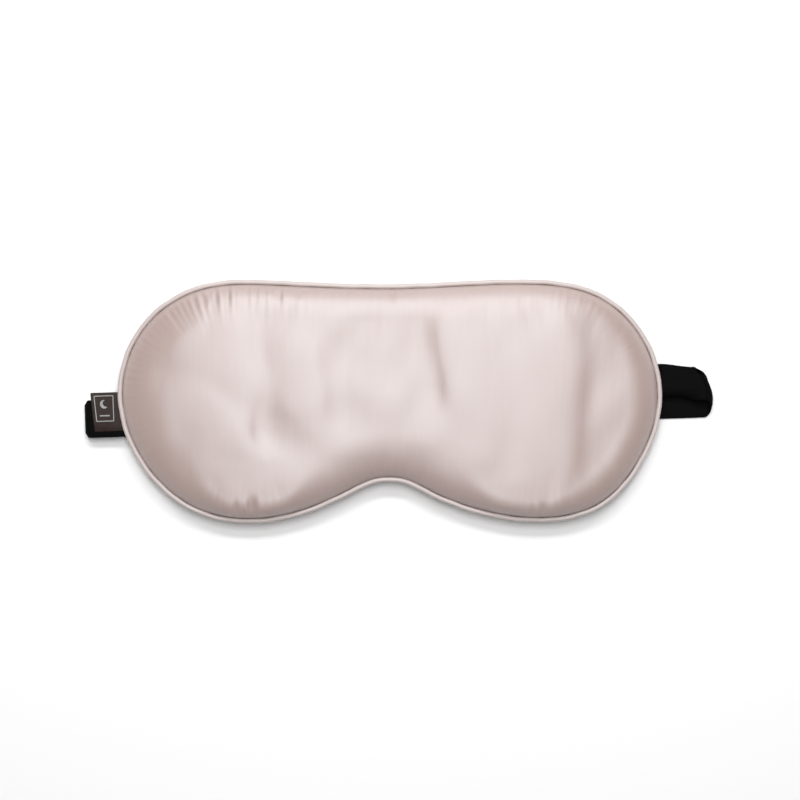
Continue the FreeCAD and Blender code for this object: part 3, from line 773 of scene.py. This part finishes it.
def rounded_path(points, radii, step):
    """Straight runs joined by tangent arcs, seen from the side, as evenly spaced places and directions."""
    corners = [np.array(point, float) for point in points]
    dense = [corners[0]]

    def run_to(target):
        gap = target - dense[-1]
        count = max(1, int(norm(gap) / step))
        if norm(gap) > 1e-7:
            base = dense[-1]
            dense.extend(base + gap * i / count for i in range(1, count + 1))

    for before, corner, after, radius in zip(corners, corners[1:], corners[2:], radii):
        into, away = unit(before - corner), unit(after - corner)
        half_turn = (math.pi - math.acos(np.clip(into @ away, -1, 1))) / 2
        trim = radius * math.tan(half_turn)
        middle = corner + unit(into + away) * radius / math.cos(half_turn)
        run_to(corner + into * trim)
        first = corner + into * trim - middle
        last = corner + away * trim - middle
        turn = math.atan2(first[0] * last[1] - first[1] * last[0], first @ last)
        count = max(3, int(abs(turn) / math.radians(12)))
        for i in range(1, count + 1):
            angle = turn * i / count
            spin = np.array([[math.cos(angle), -math.sin(angle)], [math.sin(angle), math.cos(angle)]])
            dense.append(middle + spin @ first)
    run_to(corners[-1])
    dense = np.array(dense)
    return dense, unit(np.gradient(dense, axis=0))


def ribbon(name, centres, normals, across, width, thickness, material, bend=None):
    """A flat band with rounded edges through some centres. UVs are millimetres along and across.

    bend takes the places across the band, off its middle plane, and along the strap line,
    and gives new places across and off the plane, and a shift along the strap line."""
    columns = 10
    edge = min(thickness / 2, 0.4 * MM)
    flat = np.linspace(-width / 2 + edge, width / 2 - edge, columns)
    half = thickness / 2
    arc = np.radians([60, 30, 0, -30, -60])
    side_v = width / 2 - edge + edge * np.cos(arc)
    side_w = half * np.sin(arc)
    v = np.concatenate([flat, side_v, flat[::-1], -side_v])
    w = np.concatenate([np.full(columns, half), side_w, np.full(columns, -half), -side_w])
    rows, ring = len(centres), len(v)
    placed_v, placed_w = np.tile(v, (rows, 1)), np.tile(w, (rows, 1))
    forward = 0.0
    if bend is not None:
        along = ((centres - STRAP_ORIGIN) @ ALONG)[:, None]
        placed_v, placed_w, forward = bend(placed_v, placed_w, along)
    points = (centres[:, None] + across[:, None] * placed_v[..., None]
              + normals[:, None] * placed_w[..., None]
              + np.broadcast_to(forward, (rows, ring))[..., None] * ALONG)
    faces = grid_faces(rows, ring, close_columns=True)
    faces.append(tuple(range(ring)))
    faces.append(tuple(range((rows - 1) * ring, rows * ring))[::-1])
    piece = new_piece(name, points.reshape(-1, 3), faces, material)
    set_uv(piece, np.stack([np.repeat(running_length(centres), ring), np.tile(v, rows)], axis=1) / MM)
    return piece


def strap(name, points, radii=(), shift=0.0, bend=None):
    """A length of the elastic that follows a path along the strap line, in millimetres."""
    path, along = rounded_path(np.array(points) * MM, [radius * MM for radius in radii], 1.0 * MM)
    centres = on_strap(path[:, 0], np.full(len(path), shift), path[:, 1])
    direction = along[:, :1] * ALONG + along[:, 1:] * [0, 0, 1]
    across = np.tile(ACROSS, (len(path), 1))
    normals = np.cross(direction, across)
    return ribbon(name, centres, normals, across, STRAP_WIDTH, STRAP_THICKNESS, ELASTIC, bend)


def tucked(v, w, amount):
    """Curls the low edge of a strap under itself. The amount goes from 0 to 1."""
    rolled, radius = 4.4 * MM, 2.1 * MM
    amount = np.maximum(amount, 1e-4)
    past = np.maximum(0, rolled - STRAP_WIDTH / 2 - v)
    angle = past / radius * amount
    middle_v = -(STRAP_WIDTH / 2 - rolled) - radius / amount * np.sin(angle)
    middle_w = -radius / amount * (1 - np.cos(angle))
    curled = past > 0
    return (np.where(curled, middle_v - w * np.sin(angle), v),
            np.where(curled, middle_w + w * np.cos(angle), w))


def along_strap(joint):
    return float((joint_place(joint) - STRAP_ORIGIN) @ ALONG) / MM


# The strap's places are in millimetres: along it, and its level.
LEAD = seam_left[2] / MM
RUN = 0.45
FOLD = (LEAD - RUN) / 2
STUB = RUN + STRAP_THICKNESS / MM + 0.06     # a ply that lies on the run
RING_LEFT = along_strap("ring_tilt")
RING_RIGHT = RING_LEFT + 10.0    # the ring's two bars
LOOP = joint_place("ring_tilt")[2] / MM - RUN
SLIDER = 38.0                    # the middle bar of the slider
SEAM_R = along_strap("right_strap_swing")
FOLD_L, FOLD_R = along_strap("left_strap_unfold"), along_strap("right_strap_unfold")
LEFT_LEAD_START, RIGHT_LEAD_START = SEAM_L - 4.2, SEAM_R + 4.2
ROOT_RADIUS = 20.0
LOOP_START = RING_LEFT - 20      # where the left run becomes the loop round the ring
FEED_START = 83.0                # where the right run becomes the ply that feeds through the slider


def bend_between(piece, first, second, start, end, *nodes):
    """A piece of strap where it passes from one body to another, baked where it lies and carried by neither.
    The two bodies are not used. The places are along the strap, and the level.
    """
    tuple(on_strap(start[0] * MM, 0, start[1] * MM))
    tuple(on_strap(end[0] * MM, 0, end[1] * MM))
    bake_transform(piece)
    settle(piece, "elastic", *nodes)


# Where each strap leaves the seam it turns from the pad to its lead.
left_root = strap("strap_left_root",
                  [(SEAM_L + 6.5, LEAD + 0.3), (SEAM_L + 3, LEAD), (LEFT_LEAD_START, LEAD)], [ROOT_RADIUS])
bend_between(left_root, "mask", "left_lead", (SEAM_L + 1.5, LEAD), (SEAM_L - 3, LEAD), "left_strap_root")


def left_corners(v, w, along):
    """The elastic's edges draw in a little where it folds."""
    near = smoothstep(-along / MM, -FOLD_L - 6, -FOLD_L)
    return v, w, 1.1 * MM * near * smoothstep(np.abs(v), 0.76 * STRAP_WIDTH / 2, STRAP_WIDTH / 2)


left_strap = strap("strap_left", [(LEFT_LEAD_START, LEAD), (FOLD_L - FOLD, LEAD), (FOLD_L - FOLD, RUN),
                                  (LOOP_START, RUN)], [FOLD, FOLD], bend=left_corners)
bend_between(left_strap, "left_lead", "left_run", (FOLD_L, LEAD - 0.4), (FOLD_L, RUN + 0.5),
             "left_strap_lead", "left_strap_fold", "left_strap_run")
left_loop = strap("strap_left_loop", [(LOOP_START, RUN), (RING_LEFT + LOOP, RUN),
                                      (RING_LEFT + LOOP, RUN + 2 * LOOP), (RING_LEFT - 3, RUN + 2 * LOOP),
                                      (RING_LEFT - 8, STUB), (RING_LEFT - 17, STUB)], [LOOP, LOOP, 2, 2])
settle(left_loop, "elastic", "left_strap_loop", body="left_run")


def right_fold_strap():
    """The right lead, and its skewed fold with the run under it. The fold line leans across the strap."""
    start, end = RIGHT_LEAD_START, FEED_START
    step = 1.0
    lead_x = np.arange(start, FOLD_R, step)
    turn = np.linspace(0, math.pi, 25)
    run_x = np.arange(FOLD_R - step, end - 0.01, -step)
    x = np.concatenate([lead_x, FOLD_R + FOLD * np.sin(turn), run_x, [end]])
    z = np.concatenate([np.full(len(lead_x), LEAD), (LEAD + RUN) / 2 + FOLD * np.cos(turn),
                        np.full(len(run_x) + 1, RUN)])
    share = np.concatenate([np.zeros(len(lead_x)), turn / math.pi, np.ones(len(run_x) + 1)])
    near = np.concatenate([smoothstep(lead_x, start, FOLD_R), np.ones(len(turn)),
                           1 - smoothstep(-run_x, -FOLD_R, -(end + 14)), [0]])
    curl = np.concatenate([1 - smoothstep(lead_x, start + 6, FOLD_R), np.zeros(len(x) - len(lead_x))])
    narrow = 0.10 * np.clip(x - start - 1, 0, 20) * np.clip(1 - 2 * share, 0, 1) * MM
    centres = on_strap(x * MM, RIGHT_LEAD_OFFSET * (1 - smoothstep(share, 0, 1)), z * MM)
    angle = share * math.pi
    normals = np.sin(angle)[:, None] * ALONG + np.cos(angle)[:, None] * [0, 0, 1]
    across = np.tile(ACROSS, (len(x), 1))

    def part(name, rows):
        def bend(v, w, _):
            place = v / (STRAP_WIDTH / 2)
            lean = (0.8 - 2.2 * smoothstep(place, -0.5, 0.7) - 3.6 * smoothstep(place, 0.6, 1.05)
                    - 0.6 * smoothstep(-place, 0.6, 1.0))
            v, w = tucked(v - narrow[rows, None] * smoothstep(place, 0.2, 1.0), w, curl[rows, None])
            return v, w, lean * MM * near[rows, None]

        return ribbon(name, centres[rows], normals[rows], across[rows], STRAP_WIDTH, STRAP_THICKNESS,
                      ELASTIC, bend)

    return part("strap_right_lead", slice(0, len(lead_x) + 1)), part("strap_right", slice(len(lead_x), None))


def right_root_bend(v, w, along):
    return (*tucked(v, w, smoothstep(along, (SEAM_R - 1) * MM, (SEAM_R + 3) * MM)), 0.0)


right_root = strap("strap_right_root",
                   [(SEAM_R - 6.5, LEAD + 0.3), (SEAM_R - 3, LEAD), (RIGHT_LEAD_START, LEAD)],
                   [ROOT_RADIUS], shift=RIGHT_LEAD_OFFSET, bend=right_root_bend)
bend_between(right_root, "mask", "right_lead", (SEAM_R - 1.5, LEAD), (SEAM_R + 3, LEAD), "right_strap_root")
right_lead, right_strap = right_fold_strap()
settle(right_lead, "elastic", "right_strap_lead", body="right_lead")
bend_between(right_strap, "right_lead", "right_run", (FOLD_R, LEAD - 0.4), (FOLD_R, RUN + 0.5),
             "right_strap_fold", "right_strap_run")

WEAVE_LEFT, WEAVE_RIGHT, TURN_END = SLIDER - 6.5, SLIDER + 8.0, 14.0
TURN = 2.45                      # radius of the turn round the ring
WEAVE_TOP = 4.15                 # where the strap goes over the middle bar of the slider
TURN_LEFT = RING_RIGHT - 0.5 - TURN
TURN_TOP = RUN + 2 * TURN
feed = strap("strap_right_feed", [(FEED_START, RUN), (WEAVE_RIGHT, RUN)])
bend_between(feed, "right_run", "slider", (FEED_START - 1, RUN), (WEAVE_RIGHT + 1, RUN), "right_strap_feed")
weave = strap("strap_right_weave",
              [(WEAVE_RIGHT, RUN), (SLIDER + 4, RUN), (SLIDER + 2.3, WEAVE_TOP), (SLIDER - 2.3, WEAVE_TOP),
               (SLIDER - 3.9, STUB), (WEAVE_LEFT, STUB)], [0.9, 0.9, 0.9, 0.9])
settle(weave, "elastic", "right_strap_weave", body="slider")
outer = strap("strap_right_outer", [(WEAVE_LEFT, STUB), (WEAVE_LEFT - 4, STUB), (TURN_END + 3, TURN_TOP),
                                    (TURN_END, TURN_TOP)], [6, 6])
inner = strap("strap_right_inner", [(TURN_END, RUN), (WEAVE_LEFT, RUN)])
for ply, node in ((outer, "right_strap_outer_ply"), (inner, "right_strap_inner_ply")):
    bend_between(ply, "right_run", "slider", (TURN_END + 0.5, RUN), (WEAVE_LEFT - 0.5, RUN), node)
turn_piece = strap("strap_right_turn", [(TURN_END, TURN_TOP), (TURN_LEFT, TURN_TOP), (TURN_LEFT, RUN),
                                        (TURN_END, RUN)], [TURN, TURN])
settle(turn_piece, "elastic", "right_strap_turn", body="right_run")
WRAP = 1.35                      # radius of the strap's end round the middle bar of the slider
WRAP_TOP = RUN + 2 * WRAP
end_piece = strap("strap_right_end", [(WEAVE_LEFT, RUN), (SLIDER + WRAP, RUN), (SLIDER + WRAP, WRAP_TOP),
                                      (SLIDER - 1.7, WRAP_TOP)], [WRAP, WRAP])
settle(end_piece, "elastic", "right_strap_end", body="slider")


# ---- stitches

def tubes(name, lines, radius, material, around=6):
    """Threads that follow lines of points."""
    all_points, all_faces = [], []
    count = 0
    for line in lines:
        line = np.asarray(line)
        along = unit(np.gradient(line, axis=0))
        side = np.cross(along, [0.0, 0.0, 1.0])
        side[norm(side, axis=1) < 1e-3] = ACROSS
        side = unit(side)
        up = np.cross(side, along)
        angles = 2 * math.pi * np.arange(around) / around
        ring = (line[:, None] + radius * (np.cos(angles)[None, :, None] * side[:, None]
                                          + np.sin(angles)[None, :, None] * up[:, None]))
        faces = grid_faces(len(line), around, close_columns=True)
        faces += [tuple(range(around)), tuple(range((len(line) - 1) * around, len(line) * around))[::-1]]
        all_points.append(ring.reshape(-1, 3))
        all_faces += [tuple(corner + count for corner in face) for face in faces]
        count += len(line) * around
    return new_piece(name, np.concatenate(all_points), all_faces, material)


def bar_tack(name, node, body, x_low, length, middle, level):
    """Zigzag stitches across the strap, on one of its faces."""
    half = 5.5
    y = np.linspace(-half, half, 45)
    zig = np.where(np.arange(len(y)) % 2, 0.15, 0.85) * length
    lines = [on_strap((x_low + zig) * MM, (middle + y) * MM, np.full(len(y), level * MM))]
    for x in (x_low + 0.1 * length, x_low + 0.9 * length):
        lines.append(on_strap(np.full(12, x * MM), (middle + np.linspace(-half, half, 12)) * MM,
                              np.full(12, level * MM)))
    settle(tubes(name, lines, 0.11 * MM, BLACK_THREAD), "black_thread", node, body=body)


LEAD_FACE = LEAD - STRAP_THICKNESS / MM / 2
bar_tack("stitch_left_seam", "left_seam_tack", "mask", SEAM_L + 2.5, 2.0, 0, LEAD_FACE)
bar_tack("stitch_right_seam", "right_seam_tack", "mask", SEAM_R - 4.5, 2.0, RIGHT_LEAD_OFFSET / MM, LEAD_FACE)
bar_tack("stitch_left_loop", "left_loop_tack", "left_run", RING_LEFT - 13, 2.0, 0, STUB + 0.5)
bar_tack("stitch_strap_end", "strap_end_tack", "slider", SLIDER - 1.6, 0.8, 0, WRAP_TOP + 0.5)


# ---- label

label_low, label_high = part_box("label_loop")
LABEL_HINGE = along_strap("label_flap")
LABEL_END, LABEL_MIDDLE, LABEL_WIDTH, LABEL_PLY = -118.9, 2.65, 15.5, 0.2
LABEL_TOP = label_high[2] / MM
LABEL_BOTTOM = label_low[2] / MM


def label_drop(x, y):
    """How far the label's surface leaves its plane: its lower edge and its fold roll down a little."""
    across = (y - LABEL_MIDDLE) / (LABEL_WIDTH / 2)
    loose = smoothstep(-x, -LABEL_HINGE, -LABEL_END)
    roll = -0.55 * np.clip(-across - 0.55, 0, 1)**2 / 0.2 * (0.4 + 0.6 * loose)
    corner = -0.25 * np.clip(across - 0.6, 0, 1)**2 / 0.16 * loose
    wave = 0.12 * np.sin((x - LABEL_HINGE) / 3.1) * np.cos(across * 1.4) * loose
    return np.clip(roll + corner + wave, -0.5, 0.3)


def label_slant(x, y):
    """How far the label's surface moves along the strap, because its fold isn't quite square."""
    return smoothstep(-x, -LABEL_HINGE, -LABEL_END) * (LABEL_MIDDLE + LABEL_WIDTH / 2 - y) * 0.085


def label():
    """One ribbon folded at its free end, with a slanted fold."""
    root, high, low = SEAM_L - 3.2, LABEL_TOP - LABEL_PLY / 2, LABEL_BOTTOM + LABEL_PLY / 2
    path, along = rounded_path([(root, high), (LABEL_END, high), (LABEL_END, low), (root, low)],
                               [0.17, 0.17], 0.5)
    count = len(path)
    centres = on_strap(path[:, 0] * MM, np.full(count, LABEL_MIDDLE * MM), path[:, 1] * MM)
    direction = along[:, :1] * ALONG + along[:, 1:] * [0, 0, 1]
    across = np.tile(ACROSS, (count, 1))
    piece = ribbon("label", centres, -np.cross(across, direction), across, LABEL_WIDTH * MM,
                   LABEL_PLY * MM, LABEL)
    points = read_points(piece.data)
    gap = points - STRAP_ORIGIN
    x, y = gap @ ALONG / MM, gap @ ACROSS / MM
    drop, slant = label_drop(x, y) * MM, label_slant(x, y) * MM
    points = points + drop[:, None] * [0, 0, 1] + slant[:, None] * ALONG
    piece.data.vertices.foreach_set("co", points.ravel())
    piece.data.update()
    return piece


def on_label(x, y, lift):
    x, y = np.asarray(x, float), np.asarray(y, float)
    return on_strap((x + label_slant(x, y)) * MM, y * MM, (LABEL_TOP + label_drop(x, y) + lift) * MM)


label_piece = label()
tuple(on_strap((LABEL_HINGE + 1.2) * MM, 0, 0))
tuple(on_strap((LABEL_HINGE - 0.6) * MM, 0, 0))
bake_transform(label_piece)
settle(label_piece, "label", "label_loop", "label_root")


def woven_band(name, node, outline_points, stroke):
    """Fine rows of thread, side by side, along a line on the label."""
    outline_points = np.asarray(outline_points, float)
    lines = []
    rows = max(1, round(stroke / THREAD_PITCH))
    along = unit(np.gradient(outline_points, axis=0))
    side = np.stack([-along[:, 1], along[:, 0]], axis=1)
    for row in range(rows):
        offset = (row - (rows - 1) / 2) * THREAD_PITCH
        line = outline_points + side * offset
        lines.append(on_label(line[:, 0], line[:, 1], THREAD_LIFT))
    settle(tubes(name, lines, 0.095 * MM, SILVER), "silver_thread", node, body="label")


THREAD_PITCH, THREAD_LIFT = 0.16, 0.05
FRAME_LEFT, FRAME_LOW, FRAME_LENGTH, FRAME_WIDTH = LABEL_END + 1.1, -1.2, 8.0, 10.4
FRAME_INSET = 0.17               # half of the frame's stroke


def along_corners(corners, step=0.4):
    dense = []
    for start, end in zip(corners, corners[1:]):
        start, end = np.array(start), np.array(end)
        count = max(2, int(norm(end - start) / step))
        dense += [start + (end - start) * i / count for i in range(count)]
    dense.append(np.array(corners[-1]))
    return np.array(dense)


left, low = FRAME_LEFT + FRAME_INSET, FRAME_LOW + FRAME_INSET
right, high = FRAME_LEFT + FRAME_LENGTH - FRAME_INSET, FRAME_LOW + FRAME_WIDTH - FRAME_INSET
woven_band("label_mark_frame", "label_frame", along_corners(
    [(left, low), (right, low), (right, high), (left, high), (left, low)]), 0.32)


def crescent():
    """Rows of thread that fill a crescent."""
    middle = np.array([FRAME_LEFT + FRAME_LENGTH / 2, FRAME_LOW + 6.9])
    bite = middle + [0.77, 0.34]
    lines = []
    moon_radius, bite_radius = 1.7, 1.33
    for y in np.arange(-1.6, 1.61, THREAD_PITCH):
        half = math.sqrt(max(moon_radius**2 - y**2, 0))
        low, high = -half, half
        gap = bite_radius**2 - (middle[1] + y - bite[1])**2
        if gap > 0:
            high = min(high, bite[0] - middle[0] - math.sqrt(gap))
        if high - low > 0.15:
            x = np.linspace(low, high, 6)
            lines.append(on_label(middle[0] + x, np.full(6, middle[1] + y), THREAD_LIFT))
    settle(tubes("label_mark_moon", lines, 0.1 * MM, SILVER), "silver_thread", "label_moon", body="label")


crescent()
dash_length, dash_level = 4.4, FRAME_LOW + 2.35
dash_left = FRAME_LEFT + (FRAME_LENGTH - dash_length) / 2
woven_band("label_mark_dash", "label_dash", along_corners(
    [(dash_left, dash_level), (dash_left + dash_length, dash_level)]), 0.5)


# ---- materials of the carried-over nodes

for node, material in (("ring", NYLON), ("slider", NYLON), ("blackout_liner", LINER),
                       ("seam_thread", PINK_THREAD)):
    piece = bpy.data.objects[node]
    for slot in piece.material_slots:
        slot.material = material
    if not piece.material_slots:
        piece.data.materials.append(material)

# ---- camera, light and floor

FLOOR = 0.5                  # half of its side
floor = new_piece("floor", [(-FLOOR, -FLOOR, 0), (FLOOR, -FLOOR, 0), (FLOOR, FLOOR, 0), (-FLOOR, FLOOR, 0)],
                  [(0, 1, 2, 3)], floor_material())

VIEW_WIDTH = 317.6 * MM
camera_data = bpy.data.cameras.new("camera")
camera_data.lens = 85
camera_data.sensor_width = 36
camera = in_scene("camera", camera_data)
camera_height = VIEW_WIDTH * camera_data.lens / camera_data.sensor_width
camera.location = (PAD_MIDDLE[0] + 4.0 * MM, 0.6 * MM, camera_height + SEAM_LEVEL)
bpy.context.scene.camera = camera


def area_light(name, place, size, power):
    """A rectangular lamp that looks at the origin."""
    data = bpy.data.lights.new(name, "AREA")
    data.shape = "RECTANGLE"
    data.size, data.size_y = size
    data.energy = power
    light = in_scene(name, data)
    light.location = place
    light.rotation_euler = (-Vector(place)).to_track_quat("-Z", "Y").to_euler()


area_light("overhead", (0.0, 0.18, 1.05), (0.46, 0.62), 9.3)
area_light("brow_side", (0.0, 0.75, 0.95), (1.0, 0.20), 9.4)
area_light("brow_low", (0.0, 1.15, 0.5), (1.3, 0.3), 1.8)

# The room is white below the level of the floor, pale above it and dim overhead, where the lamps are.
world = bpy.data.worlds.new("studio")
world.use_nodes = True
tree = world.node_tree
direction = add_node(tree, "ShaderNodeTexCoord").outputs["Generated"]
parts = add_node(tree, "ShaderNodeSeparateXYZ", {"Vector": direction})
height = add_node(tree, "ShaderNodeMapRange", {"From Min": -1, "Value": parts.outputs["Z"]})
shade = add_node(tree, "ShaderNodeValToRGB", {"Fac": height.outputs["Result"]})
for place, grey in ((0.49, 1.0), (0.52, 0.66), (0.63, 0.58), (0.70, 0.03)):
    shade.color_ramp.elements.new(place).color = (grey, grey, grey, 1)
shade.color_ramp.elements[0].color = (1, 1, 1, 1)
shade.color_ramp.elements[-1].color = (0.03, 0.03, 0.03, 1)
tree.links.new(shade.outputs["Color"], tree.nodes["Background"].inputs["Color"])
tree.nodes["Background"].inputs["Strength"].default_value = 1.05
bpy.context.scene.world = world
bpy.context.scene.view_settings.view_transform = "Standard"

# The floor stays under the lowest part of the strap when it opens.
follow = floor.constraints.new("COPY_LOCATION")
follow.target = bpy.data.objects["body:ring"]
follow.use_x = follow.use_y = False
